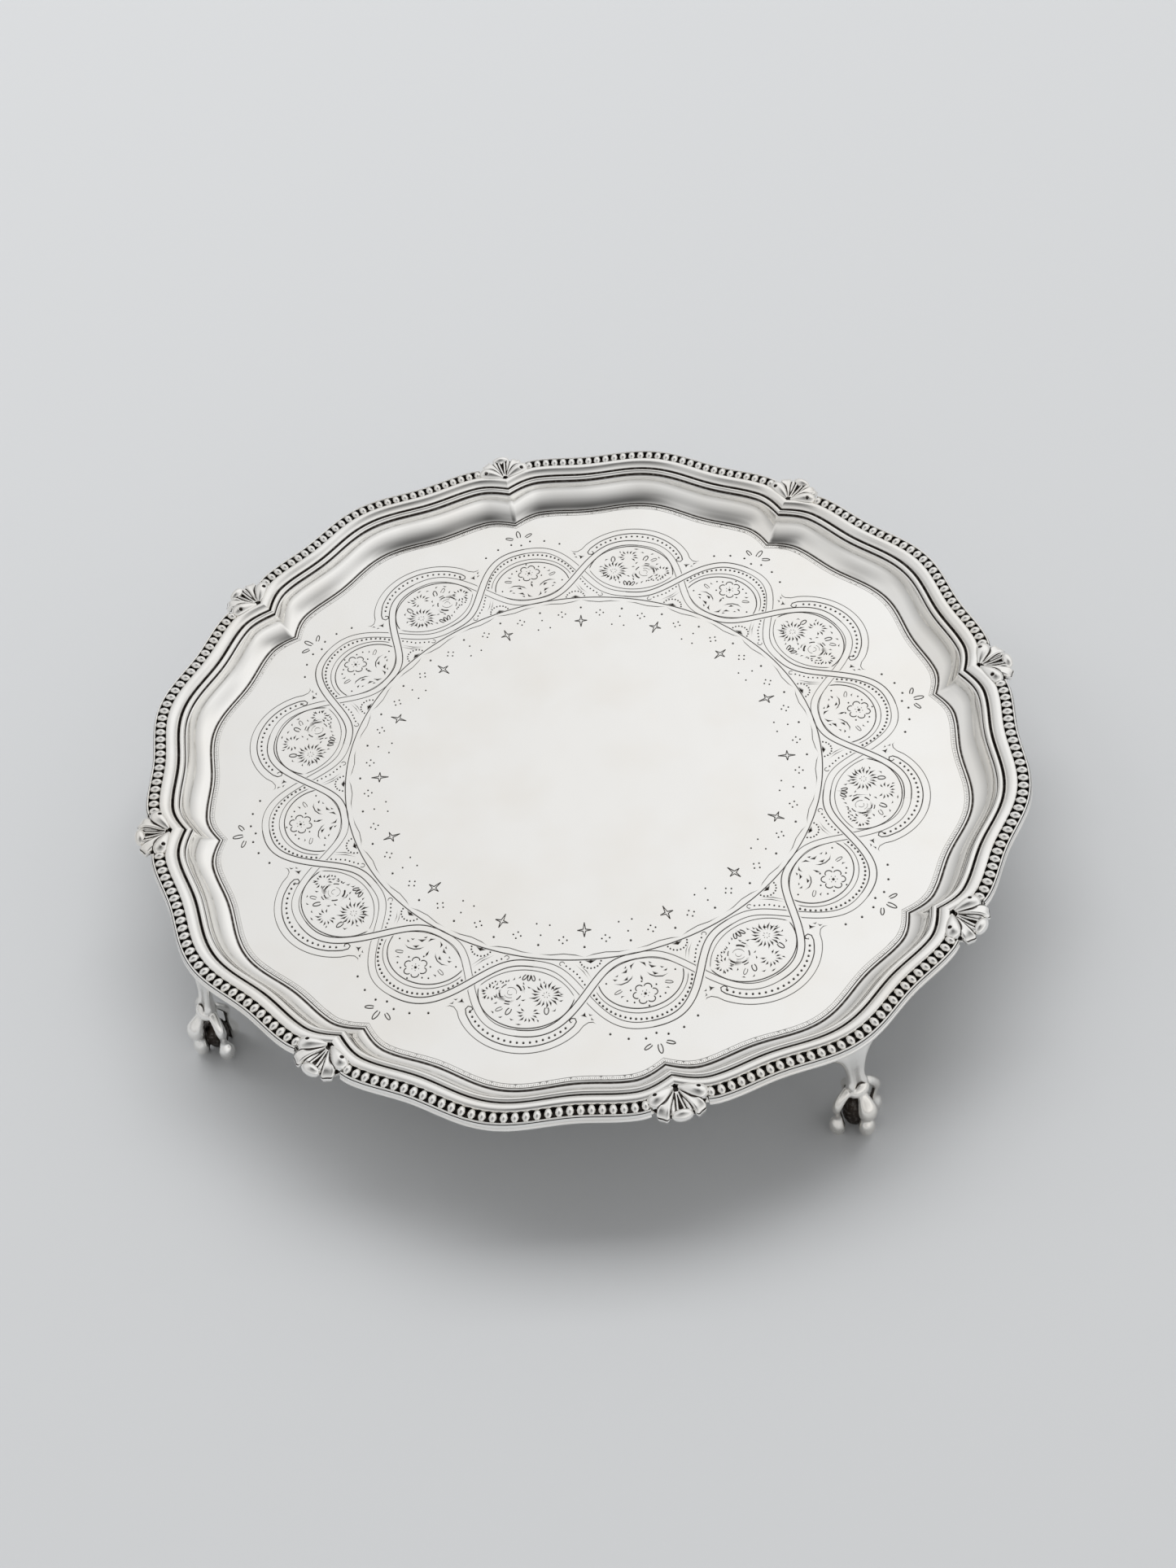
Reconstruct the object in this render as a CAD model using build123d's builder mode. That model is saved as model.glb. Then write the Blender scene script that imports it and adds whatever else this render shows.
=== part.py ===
from build123d import *
import os
from math import cos, pi, radians, sin

# A round silver salver (a footed tray), in millimetres. +Z is up and the origin is on the floor under
# the tray's centre. The tray plate carries a border of eight cast beaded sections, soldered end to end
# on its flange. They meet at eight inward cusps, and a cast leaf mount covers each joint. Four cast
# claw-and-ball feet are soldered under the flange, each below the outward bulge of a border section.

# Driving dimensions
ACROSS_LEAF_TIPS = 254.0
RIM_HEIGHT = 37.0
FIELD_DEPTH = 8.2
SHEET = 0.8
LOBES = 8
FEET = 4
BEADS_PER_LOBE = 30

# Plan of the rim: the radius of the fine line in the border, at the bulge in the middle of a lobe,
# and how far inside that the line lies at the waist, at the shoulder and at the cusp.
TIP_RADIUS = ACROSS_LEAF_TIPS / 2
LINE_RADIUS = TIP_RADIUS - 8.9
WAIST_DROP = 3.15
SHOULDER_DROP = 2.4
CUSP_DROP = 5.6
LOBE_ANGLE = 360 / LOBES
BULGE_ANGLE = LOBE_ANGLE / 2
SHOULDER_ANGLE = 5.0
WAIST_ANGLE = 11.5
STEPS_PER_LOBE = 20

# Every contour of the rim is the fine line, moved outwards by an offset.
FIELD_OFFSET = -8.2
FLANGE_OFFSET = -2.2
FLANGE_EDGE_OFFSET = 6.6
BEAD_OFFSET = 5.1
BORDER_EDGE_OFFSET = 7.6

# Heights
FIELD_TOP = RIM_HEIGHT - FIELD_DEPTH
FLANGE_TOP = RIM_HEIGHT - 1.8
FLANGE_BOTTOM = FLANGE_TOP - SHEET
GROOVE_DEPTH = 0.8
GROOVE_FLOOR = RIM_HEIGHT - GROOVE_DEPTH

# Border cross-section, as points (offset outwards from the fine line, height above the rim plane)
ROLL_FOOT = (-1.9, -1.1)
ROLL_CREST = (-1.0, -0.4)
FINE_LINE = (0.0, -0.9)
OVOLO_MIDDLE = (1.5, 0.5)
OVOLO_CREST = (3.4, 0.7)
GROOVE_INNER_FOOT = (3.8, -GROOVE_DEPTH)
GROOVE_OUTER_FOOT = (6.4, -GROOVE_DEPTH)
LIP_CREST = (6.8, 0.6)
FACET_FOOT = (7.5, -0.2)
STEP_FOOT = (7.3, -0.8)
EDGE_MIDDLE = (BORDER_EDGE_OFFSET, -1.7)
EDGE_FOOT_OFFSET = 7.3
SOLDER_GAP = 0.1

# Booge: the concave wall between field and flange, from its slope at the foot to its slope at the top.
BOOGE_LEVELS = 5
BOOGE_FOOT_SLOPE = 12
BOOGE_TOP_SLOPE = 78

# Beads, as ovals lying across the groove
BEAD_LENGTH = 2.9
BEAD_WIDTH = 2.1
BEAD_RISE = 0.95
FIRST_BEAD_ANGLE = 3.9

# Leaf mount: the notch that it fills between two border sections, and its five petals.
NOTCH_HALF_WIDTH = 7.0
NOTCH_CORNER = LINE_RADIUS + 0.45
CREST_OFFSET = 3.4
APEX_RADIUS = LINE_RADIUS - CUSP_DROP + CREST_OFFSET
LEAF_BASE_RADIUS = TIP_RADIUS - 3.4
LEAF_BASE_TOP = RIM_HEIGHT - 0.2
PETAL_ROOT = (APEX_RADIUS + 1.0, 0, RIM_HEIGHT + 0.3)
CENTRE_PETAL_TIP = (TIP_RADIUS, 0, LEAF_BASE_TOP)
CENTRE_PETAL_RADIUS = 2.0
SIDE_PETAL_REACH = TIP_RADIUS - 2.0
SIDE_PETAL_SPREAD = 5.4
SIDE_PETAL_RADIUS = 1.4
SCROLL_REACH = APEX_RADIUS + 3.4
SCROLL_SPREAD = 4.7
SCROLL_RADIUS = 2.1
PETAL_NECK = 0.4
PETAL_SHOULDER = 0.95

# Foot
FOOT_RADIUS = 124.0
ANKLE_HEIGHT = 20.5
KNUCKLE_HEIGHT = 14.0
KNUCKLE_RADIUS = 3.6
BALL_RADIUS = 5.2
BALL_SINK = 0.2
CLAWS = 4
CLAW_RADIUS = 1.4
CLAW_REACH = 5.6
CLAW_TOP = 16.0

# Leg of a foot, as level ovals: height, distance of its middle from the tray's axis, half depth, half width
LEG_SECTIONS = (
    (FLANGE_BOTTOM, FOOT_RADIUS - 2.6, 4.2, 11.0),
    (FLANGE_BOTTOM - 4.0, FOOT_RADIUS - 2.0, 3.2, 6.0),
    (ANKLE_HEIGHT + 5.0, FOOT_RADIUS - 0.9, 2.5, 3.2),
    (ANKLE_HEIGHT, FOOT_RADIUS - 0.4, 2.3, 2.1),
    (CLAW_TOP - 1.5, FOOT_RADIUS, 3.2, 3.2),
)

# Line of a claw, from root to tip: reach from the foot's own axis, and height
CLAW_LINE = (
    (CLAW_REACH - 4.1, CLAW_TOP),
    (CLAW_REACH - 0.5, 12.0),
    (CLAW_REACH, 7.0),
    (CLAW_REACH - 1.4, 1.0),
)


def drop(angle):
    """How far the rim contours lie inside their bulge, at an angle from the cusp where a lobe starts."""
    from_cusp = min(angle % LOBE_ANGLE, LOBE_ANGLE - angle % LOBE_ANGLE)
    if from_cusp < SHOULDER_ANGLE:
        rise = sin(pi / 2 * from_cusp / SHOULDER_ANGLE)
        return CUSP_DROP + (SHOULDER_DROP - CUSP_DROP) * rise
    if from_cusp < WAIST_ANGLE:
        fall = (1 - cos(pi * (from_cusp - SHOULDER_ANGLE) / (WAIST_ANGLE - SHOULDER_ANGLE))) / 2
        return SHOULDER_DROP + (WAIST_DROP - SHOULDER_DROP) * fall
    rise = (1 + cos(pi * (from_cusp - WAIST_ANGLE) / (BULGE_ANGLE - WAIST_ANGLE))) / 2
    return WAIST_DROP * rise


def rim_radius(angle, offset):
    return LINE_RADIUS + offset - drop(angle)


def rim_point(angle, offset):
    radius = rim_radius(angle, offset)
    return (radius * cos(radians(angle)), radius * sin(radians(angle)))


def scalloped_face(offset, height):
    """The level face inside the whole rim contour at an offset: one curve per lobe, meeting at the cusps."""
    with BuildSketch(Plane.XY.offset(height)) as face:
        with BuildLine():
            for lobe in range(LOBES):
                angles = [LOBE_ANGLE * (lobe + step / STEPS_PER_LOBE) for step in range(STEPS_PER_LOBE + 1)]
                Spline(*[rim_point(angle, offset) for angle in angles])
        make_face()
    return face.sketch


def booge_faces(thickness):
    """Level faces up the booge, on a surface that lies a thickness below the inside of the tray."""
    foot = radians(BOOGE_FOOT_SLOPE)
    top = radians(BOOGE_TOP_SLOPE)
    faces = []
    for level in range(BOOGE_LEVELS):
        slope = foot + (top - foot) * level / (BOOGE_LEVELS - 1)
        across = (sin(slope) - sin(foot)) / (sin(top) - sin(foot))
        up = (cos(foot) - cos(slope)) / (cos(foot) - cos(top))
        offset = FIELD_OFFSET + (FLANGE_OFFSET - FIELD_OFFSET) * across + thickness * sin(slope)
        height = FIELD_TOP + (FLANGE_TOP - FIELD_TOP) * up - thickness * cos(slope)
        faces.append(scalloped_face(offset, height))
    return faces


def radial_plane(angle):
    """The upright plane through the tray's axis, with x outwards and y up."""
    outward = (cos(radians(angle)), sin(radians(angle)), 0)
    sideways = (sin(radians(angle)), -cos(radians(angle)), 0)
    return Plane(origin=(0, 0, 0), x_dir=outward, z_dir=sideways)


def border_section(angle):
    """The border's cross-section in its radial plane: inner roll, fine line, ovolo, groove and edge."""
    radius = rim_radius(angle, 0)

    def at(point):
        return (radius + point[0], RIM_HEIGHT + point[1])

    back_radius = radius + FLANGE_EDGE_OFFSET + SOLDER_GAP
    with BuildSketch(radial_plane(angle)) as section:
        with BuildLine():
            inner_roll = ThreePointArc(at(ROLL_FOOT), at(ROLL_CREST), at(FINE_LINE))
            ovolo = ThreePointArc(inner_roll @ 1, at(OVOLO_MIDDLE), at(OVOLO_CREST))
            groove_and_lip = Polyline(
                ovolo @ 1,
                at(GROOVE_INNER_FOOT),
                at(GROOVE_OUTER_FOOT),
                at(LIP_CREST),
                at(FACET_FOOT),
                at(STEP_FOOT),
            )
            edge_foot = (radius + EDGE_FOOT_OFFSET, FLANGE_BOTTOM)
            edge_roll = ThreePointArc(groove_and_lip @ 1, at(EDGE_MIDDLE), edge_foot)
            Polyline(
                edge_roll @ 1,
                (back_radius, FLANGE_BOTTOM),
                (back_radius, FLANGE_TOP),
                (radius + ROLL_FOOT[0], FLANGE_TOP),
                inner_roll @ 0,
            )
        make_face()
    return section.sketch


def notch_face(outer_radius, height):
    """The plan of a leaf mount's seat at angle 0: a shallow V following the cusp, open outwards."""
    with BuildSketch(Plane.XY.offset(height)) as notch:
        with BuildLine():
            Polyline(
                (APEX_RADIUS, 0),
                (NOTCH_CORNER, NOTCH_HALF_WIDTH),
                (outer_radius, NOTCH_HALF_WIDTH),
                (outer_radius, -NOTCH_HALF_WIDTH),
                (NOTCH_CORNER, -NOTCH_HALF_WIDTH),
                close=True,
            )
        make_face()
    return notch.sketch


def petal(start, tip, radius):
    """A drop-shaped petal: a round bar that widens from its start and ends in a ball at its tip."""
    along = Vector(*tip) - Vector(*start)
    ball_centre = Vector(*tip) - along.normalized() * radius
    with BuildPart() as drop_shape:
        with BuildSketch(Plane(origin=start, z_dir=along)):
            Circle(radius * PETAL_NECK)
        with BuildSketch(Plane(origin=ball_centre, z_dir=along)):
            Circle(radius * PETAL_SHOULDER)
        loft()
        with Locations(ball_centre):
            Sphere(radius)
    return drop_shape.part


def save(piece, name):
    """Labels a finished piece and writes it as its own node."""
    piece.label = name
    export_step(piece, f"parts/{name}.step")


os.makedirs("parts", exist_ok=True)

# Tray plate: flat field, booge and flange, raised from one sheet
with BuildPart() as tray_plate:
    loft(sections=booge_faces(SHEET))
    extrude(scalloped_face(FLANGE_EDGE_OFFSET, FLANGE_BOTTOM), amount=SHEET)
    loft(sections=booge_faces(0), mode=Mode.SUBTRACT)
save(tray_plate.part, "tray_plate")

# One bead, its long axis along the radius
with BuildPart() as bead:
    Sphere(BEAD_WIDTH / 2)
    scale(by=(BEAD_LENGTH / BEAD_WIDTH, 1, 1))

bead_places = []
for number in range(BEADS_PER_LOBE):
    bead_angle = FIRST_BEAD_ANGLE + (LOBE_ANGLE - 2 * FIRST_BEAD_ANGLE) * number / (BEADS_PER_LOBE - 1)
    bead_x, bead_y = rim_point(bead_angle, BEAD_OFFSET)
    bead_places.append(Location((bead_x, bead_y, GROOVE_FLOOR + BEAD_RISE), (0, 0, bead_angle)))

# Border section: moulding with its row of beads, from one cusp to the next
with BuildPart() as border:
    loft(sections=[border_section(LOBE_ANGLE * step / STEPS_PER_LOBE) for step in range(STEPS_PER_LOBE + 1)])
    for end_angle in (0, LOBE_ANGLE):
        notch = notch_face(TIP_RADIUS, FLANGE_BOTTOM).rotate(Axis.Z, end_angle)
        extrude(notch, amount=RIM_HEIGHT, mode=Mode.SUBTRACT)
    for place in bead_places:
        with Locations(place):
            add(bead.part)

# Leaf mount: a base in the notch and five petals that spread from the apex
with BuildPart() as leaf_mount:
    extrude(notch_face(LEAF_BASE_RADIUS, FLANGE_TOP), amount=LEAF_BASE_TOP - FLANGE_TOP)
    add(petal(PETAL_ROOT, CENTRE_PETAL_TIP, CENTRE_PETAL_RADIUS))
    for side in (-1, 1):
        add(petal(PETAL_ROOT, (SIDE_PETAL_REACH, side * SIDE_PETAL_SPREAD, RIM_HEIGHT), SIDE_PETAL_RADIUS))
        with Locations((SCROLL_REACH, side * SCROLL_SPREAD, LEAF_BASE_TOP)):
            Sphere(SCROLL_RADIUS)
    extrude(notch_face(TIP_RADIUS, FLANGE_TOP), amount=RIM_HEIGHT, mode=Mode.INTERSECT)

# Claw-and-ball foot: a web that spreads under the flange, an ankle, a ball and four claws
with BuildPart() as claw_foot:
    for height, radius, half_depth, half_width in LEG_SECTIONS:
        with BuildSketch(Plane.XY.offset(height)):
            with Locations((radius, 0)):
                Ellipse(half_depth, half_width)
    loft()
    with Locations((FOOT_RADIUS, 0, KNUCKLE_HEIGHT)):
        Sphere(KNUCKLE_RADIUS)
    with Locations((FOOT_RADIUS, 0, BALL_RADIUS - BALL_SINK)):
        Sphere(BALL_RADIUS)
    for number in range(CLAWS):
        turn = radians(360 / CLAWS * number)
        claw_points = []
        for reach, height in CLAW_LINE:
            claw_points.append((FOOT_RADIUS + reach * cos(turn), reach * sin(turn), height))
        with BuildLine() as claw_line:
            claw_curve = Spline(*claw_points)
        with BuildSketch(Plane(origin=claw_curve @ 0, z_dir=claw_curve % 0)):
            Circle(CLAW_RADIUS)
        sweep(path=claw_curve)
        with Locations(claw_points[0], claw_points[-1]):
            Sphere(CLAW_RADIUS)
    split(bisect_by=Plane.XY, keep=Keep.TOP)

# Repeated castings, each turned to its own place
for number in range(LOBES):
    save(border.part.rotate(Axis.Z, LOBE_ANGLE * number), f"border_{number + 1}")
    save(leaf_mount.part.rotate(Axis.Z, LOBE_ANGLE * number), f"leaf_mount_{number + 1}")
for number in range(FEET):
    foot_angle = BULGE_ANGLE + 360 / FEET * number
    save(claw_foot.part.rotate(Axis.Z, foot_angle), f"claw_foot_{number + 1}")
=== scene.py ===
from math import atan2, cos, degrees, hypot, pi, radians, sin, sqrt

import bmesh
import bpy
import numpy as np
from mathutils import Matrix, Vector
from mathutils.geometry import delaunay_2d_cdt


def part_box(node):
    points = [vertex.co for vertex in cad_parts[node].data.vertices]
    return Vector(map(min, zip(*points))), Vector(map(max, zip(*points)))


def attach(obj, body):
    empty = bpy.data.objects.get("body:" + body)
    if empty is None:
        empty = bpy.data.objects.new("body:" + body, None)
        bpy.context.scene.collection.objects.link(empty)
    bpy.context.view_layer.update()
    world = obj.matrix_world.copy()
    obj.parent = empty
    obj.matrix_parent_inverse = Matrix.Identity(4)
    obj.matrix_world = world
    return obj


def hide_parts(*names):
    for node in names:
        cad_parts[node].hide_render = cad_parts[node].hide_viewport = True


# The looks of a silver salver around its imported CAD. Shapes are worked out in millimetres in the CAD's own
# frame and written to Blender in metres. Angles are in degrees from +X, where the first leaf mount stands.

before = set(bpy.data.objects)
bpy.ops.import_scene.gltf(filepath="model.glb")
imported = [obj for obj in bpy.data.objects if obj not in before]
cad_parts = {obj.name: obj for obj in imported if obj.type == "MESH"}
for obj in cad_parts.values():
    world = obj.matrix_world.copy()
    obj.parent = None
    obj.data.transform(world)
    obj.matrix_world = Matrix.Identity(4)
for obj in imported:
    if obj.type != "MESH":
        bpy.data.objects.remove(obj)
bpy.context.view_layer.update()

MM = 0.001
plate_low, plate_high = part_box("tray_plate")
foot_low, foot_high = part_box("claw_foot_1")

# Sizes that follow from the frame
TIP_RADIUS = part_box("leaf_mount_1")[1][0] / MM
FLANGE_TOP = plate_high[2] / MM
FLANGE_BOTTOM = foot_high[2] / MM
FIELD_BOTTOM = plate_low[2] / MM
SHEET = FLANGE_TOP - FLANGE_BOTTOM
FIELD_TOP = FIELD_BOTTOM + SHEET
RIM_HEIGHT = FLANGE_TOP + 1.8

# Plan of the rim: the fine line's radius at the bulge of a lobe, and how far inside it runs elsewhere
LOBES = 8
LOBE_ANGLE = 360 / LOBES
BULGE_ANGLE = LOBE_ANGLE / 2
SHOULDER_ANGLE = 5.0
WAIST_ANGLE = 11.5
LINE_RADIUS = TIP_RADIUS - 8.9
WAIST_DROP = 3.15
SHOULDER_DROP = 2.4
CUSP_DROP = 5.6
STEPS_PER_LOBE = 96

# Contours, as offsets outwards from the fine line
FIELD_EDGE_OFFSET = -9.3
BOOGE_OFFSET = -8.2
FLANGE_OFFSET = -2.2
FLANGE_EDGE_OFFSET = 6.6
BOOGE_FOOT_SLOPE = 12
BOOGE_TOP_SLOPE = 78

# Border: the smooth moulding runs from cusp to cusp, the groove and edge stop short at the leaf mounts
BORDER_STEPS = 120
OUTER_START_ANGLE = 3.45
GROOVE_INSIDE = 3.45
GROOVE_OUTSIDE = 6.55
GROOVE_FLOOR = RIM_HEIGHT - 0.9
BEADS_PER_LOBE = 30
FIRST_BEAD_ANGLE = 3.95
BEAD_OFFSET = 5.1
BEAD_HALVES = (1.56, 1.12, 1.25)
BEAD_MIDDLE = GROOVE_FLOOR + 0.75

# Ornament: its places are fractions of the radius through the inner points of the leaf mounts, and the
# widths of its cuts are in millimetres
ORNAMENT_RADIUS = TIP_RADIUS - 10.5
RING = 0.583
BAND_MIDDLE = 0.683
BAND_SWING = 0.092
WIDE_BAND_SWING = 0.100
BAND_LIFT = 0.0075
BAND_HALF_WIDTH = 0.0085
FINE_CUT = 0.32
BOLD_CUT = 0.42
FINE_DOT = 0.6
BOLD_DOT = 0.78
CUT_SLOPE = 0.75
CUT_DARK_DEPTH = 0.22
LIP = 1.05
DOT_SIDES = 8
CROSS_CUTS = 150
CROSS_CUT_OFFSETS = (-9.85, -9.5)
EDGE_LINE_OFFSET = -10.4

# Leaf mounts and feet
LEAF_APEX = LINE_RADIUS - CUSP_DROP + 3.9
FEET = 4
FOOT_RADIUS = 124.0


def drop(angle):
    """How far the rim's contours lie inside their bulge, at an angle from the cusp where a lobe starts."""
    from_cusp = min(angle % LOBE_ANGLE, LOBE_ANGLE - angle % LOBE_ANGLE)
    if from_cusp < SHOULDER_ANGLE:
        rise = sin(pi / 2 * from_cusp / SHOULDER_ANGLE)
        return CUSP_DROP + (SHOULDER_DROP - CUSP_DROP) * rise
    if from_cusp < WAIST_ANGLE:
        fall = (1 - cos(pi * (from_cusp - SHOULDER_ANGLE) / (WAIST_ANGLE - SHOULDER_ANGLE))) / 2
        return SHOULDER_DROP + (WAIST_DROP - SHOULDER_DROP) * fall
    rise = (1 + cos(pi * (from_cusp - WAIST_ANGLE) / (BULGE_ANGLE - WAIST_ANGLE))) / 2
    return WAIST_DROP * rise


def rim_radius(angle, offset):
    return LINE_RADIUS + offset - drop(angle)


def polar(radius, angle):
    return (radius * cos(radians(angle)), radius * sin(radians(angle)))


def on_rim(angle, offset):
    """The point of the plan at an angle on one of the rim's contours."""
    return polar(rim_radius(angle, offset), angle)


def turned(x, y, angle):
    """A point of the plan turned about the tray's axis."""
    c, s = cos(radians(angle)), sin(radians(angle))
    return (c * x - s * y, s * x + c * y)


def evenly(start, end, steps):
    """Evenly spaced numbers from start to end."""
    return [start + (end - start) * step / steps for step in range(steps + 1)]


def arc(centre, radius, start, end, steps):
    """Points of an arc in the (offset, height) plane, between two angles."""
    turns = [radians(angle) for angle in evenly(start, end, steps)]
    return [(centre[0] + radius * cos(turn), centre[1] + radius * sin(turn)) for turn in turns]


# ---- meshes and pieces

def mesh_of(name, points, faces, patina_and_shade=None):
    """A mesh in metres from points in millimetres, with how dark each point is, from oxide and from painted
    shade, as a point attribute.
    """
    mesh = bpy.data.meshes.new(name)
    mesh.from_pydata([(x * MM, y * MM, z * MM) for x, y, z in points], [], faces)
    mesh.update()
    set_patina_and_shade(mesh, patina_and_shade if patina_and_shade is not None else [0.0] * len(points))
    return mesh


def set_patina_and_shade(mesh, values):
    layer = mesh.attributes.new("patina_and_shade", "FLOAT", "POINT")
    layer.data.foreach_set("value", np.asarray(values, np.float32))


def darken(mesh, vertex, shade):
    """Makes a vertex at least this dark."""
    patina_and_shade = mesh.attributes["patina_and_shade"].data[vertex.index]
    patina_and_shade.value = max(patina_and_shade.value, min(1.0, shade))


def add_piece(name, mesh, node, material, turn=0.0):
    """A visible piece that stands for one CAD node: the mesh turned about the tray's axis."""
    mesh = mesh.copy()
    mesh.transform(Matrix.Rotation(radians(turn), 4, "Z"))
    mesh.materials.append(material)
    piece = bpy.data.objects.new(name, mesh)
    bpy.context.scene.collection.objects.link(piece)
    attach(piece, "root")
    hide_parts(node)


def tube_faces(rings, sides):
    """Faces of a closed tube whose points run ring by ring, with both ends capped."""
    faces = []
    last = (rings - 1) * sides
    for here in range(0, last, sides):
        for k in range(sides):
            after = (k + 1) % sides
            faces.append((here + k, here + after, here + sides + after, here + sides + k))
    faces.append(tuple(reversed(range(sides))))
    faces.append(tuple(range(last, last + sides)))
    return faces


def swept(profile, angles):
    """A closed cross-section of (offset, height) points carried along the rim."""
    points = [(*on_rim(angle, offset), height) for angle in angles for offset, height in profile]
    return points, tube_faces(len(angles), len(profile))


def joined(shells):
    """Several shells as one list of points and one of faces."""
    points, faces = [], []
    for shell_points, shell_faces in shells:
        start = len(points)
        points.extend(shell_points)
        faces.extend(tuple(start + i for i in face) for face in shell_faces)
    return points, faces


def ellipsoid(centre, halves, turn=0.0, rings=14, sides=22):
    """A closed ellipsoid, its first axis turned about Z."""
    points = [(0, 0, -halves[2])]
    for ring in range(1, rings):
        latitude = pi * ring / rings - pi / 2
        for side in range(sides):
            around = 2 * pi * side / sides
            across = halves[0] * cos(latitude) * cos(around)
            along = halves[1] * cos(latitude) * sin(around)
            points.append((across, along, halves[2] * sin(latitude)))
    points.append((0, 0, halves[2]))
    faces = []
    for side in range(sides):
        after = (side + 1) % sides
        faces.append((0, 1 + after, 1 + side))
        for ring in range(rings - 2):
            low = 1 + ring * sides
            faces.append((low + side, low + after, low + sides + after, low + sides + side))
        last = 1 + (rings - 2) * sides
        faces.append((last + side, last + after, len(points) - 1))
    c, s = cos(radians(turn)), sin(radians(turn))
    placed = [(centre[0] + c * x - s * y, centre[1] + s * x + c * y, centre[2] + z) for x, y, z in points]
    return placed, faces


def through(keys, steps):
    """A smooth run of rows of numbers through the key rows (a Catmull-Rom curve)."""
    rows = [np.array(key, float) for key in keys]
    rows = [2 * rows[0] - rows[1]] + rows + [2 * rows[-1] - rows[-2]]
    run = []
    for a, b, c, d in zip(rows, rows[1:], rows[2:], rows[3:]):
        for step in range(steps):
            t = step / steps
            run.append(0.5 * (2 * b + (c - a) * t + (2 * a - 5 * b + 4 * c - d) * t * t
                              + (3 * b - a - 3 * c + d) * t ** 3))
    run.append(rows[-2])
    return run


def tongue(keys, sideways, flute=0.0, steps=8, sides=28):
    """A closed, bent tongue. Each key row is x, y, z, half width, half thickness. The width runs along
    sideways. A flute hollows the upper side, as a share of the thickness."""
    run = through(keys, steps)
    side = Vector(sideways).normalized()
    points = []
    for i, row in enumerate(run):
        ahead = Vector(run[min(i + 1, len(run) - 1)][:3]) - Vector(run[max(i - 1, 0)][:3])
        up = ahead.cross(side).normalized()
        centre = Vector(row[:3])
        for k in range(sides):
            around = 2 * pi * k / sides
            lift = row[4] * sin(around)
            if lift > 0:
                lift -= flute * row[4] * max(0.0, 1 - (cos(around) / 0.7) ** 2)
            points.append(tuple(centre + side * (row[3] * cos(around)) + up * lift))
    return points, tube_faces(len(run), sides)


def prism(outline, low, high):
    """A closed block over a plan outline."""
    points = [(x, y, low) for x, y in outline] + [(x, y, high) for x, y in outline]
    return points, tube_faces(2, len(outline))


def cast(name, shells, voxel, smoothing, hollow_reach, hollow_depth):
    """Shells fused into one cast skin. Its patina is how far a point lies below its smoothed
    surroundings: hollow_reach is how many smoothing passes to compare with."""
    points, faces = joined(shells)
    rough = bpy.data.objects.new(name, mesh_of(name + "_rough", points, faces))
    bpy.context.scene.collection.objects.link(rough)
    remesh = rough.modifiers.new("fuse", "REMESH")
    remesh.mode = "VOXEL"
    remesh.voxel_size = voxel * MM
    remesh.use_smooth_shade = True
    soften = rough.modifiers.new("soften", "SMOOTH")
    soften.iterations = smoothing
    soften.factor = 0.5
    graph = bpy.context.evaluated_depsgraph_get()
    mesh = bpy.data.meshes.new_from_object(rough.evaluated_get(graph), depsgraph=graph)
    bpy.data.objects.remove(rough)
    mesh.name = name
    for layer in [a for a in mesh.attributes if a.name == "patina_and_shade"]:
        mesh.attributes.remove(layer)
    set_patina_and_shade(mesh, hollows(mesh, hollow_reach, hollow_depth))
    return mesh


def hollows(mesh, passes, depth):
    """How far each vertex lies in a hollow, from 0 to 1."""
    count = len(mesh.vertices)
    points = np.array([vertex.co[:] for vertex in mesh.vertices])
    normals = np.array([vertex.normal[:] for vertex in mesh.vertices])
    edges = np.array([edge.vertices[:] for edge in mesh.edges])
    degree = np.bincount(edges.ravel(), minlength=count)[:, None]
    smooth = points.copy()
    for _ in range(passes):
        total = np.zeros_like(smooth)
        for axis in range(3):
            total[:, axis] = np.bincount(edges[:, 0], smooth[edges[:, 1], axis], count)
            total[:, axis] += np.bincount(edges[:, 1], smooth[edges[:, 0], axis], count)
        smooth = 0.5 * smooth + 0.5 * total / degree
    below = ((smooth - points) * normals).sum(1)
    return np.clip(below / (depth * MM), 0, 1)


# ---- materials

class Shader:
    """A material's or world's nodes, added by kind with some of their inputs set by name."""

    def __init__(self, owner):
        owner.use_nodes = True
        self.nodes = owner.node_tree.nodes
        self.links = owner.node_tree.links

    def add(self, kind, **values):
        node = self.nodes.new("ShaderNode" + kind)
        for name, value in values.items():
            self.feed(node.inputs[name.replace("_", " ")], value)
        return node

    def feed(self, socket, value):
        """Sets an input to a value, or links it to another node's output."""
        if isinstance(value, bpy.types.NodeSocket):
            self.links.new(value, socket)
        else:
            socket.default_value = value

    def noise(self, scale, detail, stretch=(1, 1, 1)):
        place = self.add("TexCoord").outputs["Object"]
        place = self.add("Mapping", Scale=stretch, Vector=place).outputs["Vector"]
        return self.add("TexNoise", Scale=scale, Detail=detail, Vector=place).outputs["Fac"]

    def spread(self, value, low, high, out_low, out_high):
        limits = {"From Min": low, "From Max": high, "To Min": out_low, "To Max": out_high}
        return self.add("MapRange", Value=value, **limits).outputs["Result"]

    def maths(self, operation, a, b):
        node = self.add("Math")
        node.operation = operation
        node.use_clamp = True
        self.feed(node.inputs[0], a)
        self.feed(node.inputs[1], b)
        return node.outputs["Value"]

    def mixed(self, factor, a, b):
        node = self.add("Mix")
        node.data_type = "RGBA"
        for name, value in (("Factor", factor), ("A", a), ("B", b)):
            self.feed(node.inputs[name], value)
        return node.outputs["Result"]


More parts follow.
